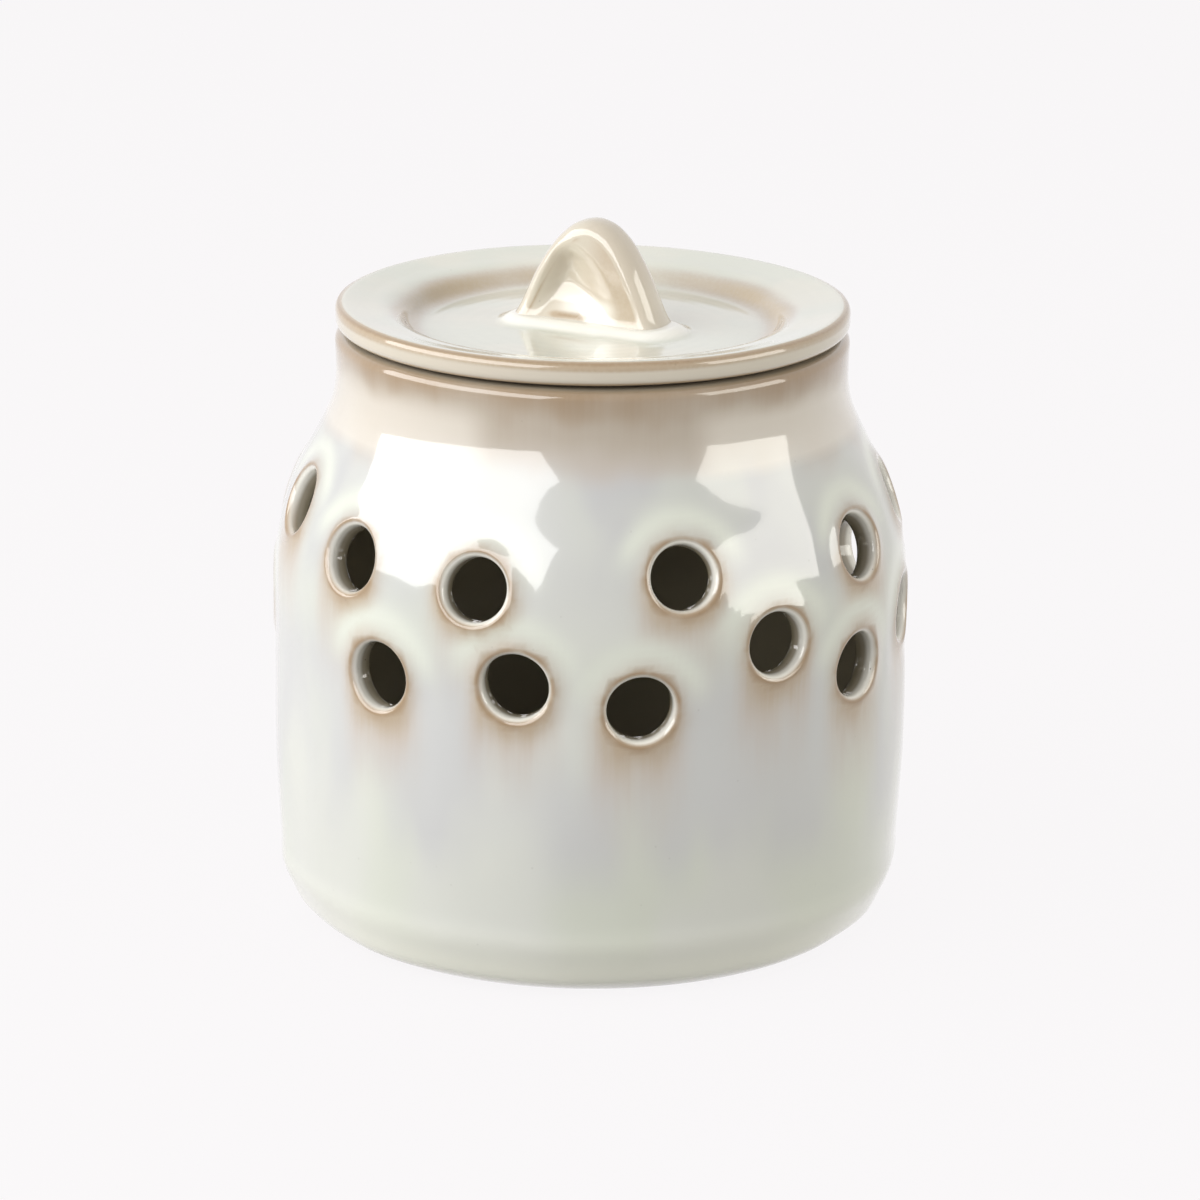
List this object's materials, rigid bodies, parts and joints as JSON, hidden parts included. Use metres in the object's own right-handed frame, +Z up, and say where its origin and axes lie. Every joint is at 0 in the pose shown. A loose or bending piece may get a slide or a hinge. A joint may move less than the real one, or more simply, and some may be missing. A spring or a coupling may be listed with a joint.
{
  "type": "garlic keeper",
  "caption": "Stoneware garlic keeper: a round footed jar with punched air vents and a short neck, under a loose dished lid with a pinched arch handle.",
  "frame": {"origin": "centre of the foot ring, on the surface that the jar stands on", "axes": "+Z up along the jar's axis and the way the lid lifts; -Y to the pictured front; +X to the right in the picture"},
  "size_m": [0.126, 0.126, 0.141],
  "materials": {
    "jar_glaze": "gloss",
    "lid_glaze": "gloss"
  },
  "bodies": {
    "jar": {"jar_body": "jar_glaze"},
    "lid": {"lid_plate": "lid_glaze", "lid_handle": "lid_glaze"}
  },
  "joints": [
    {"name": "lid_lift", "type": "slide", "parent": "jar", "child": "lid", "axis": [0, 0, 1], "range_m": [0, 0.1]}
  ]
}
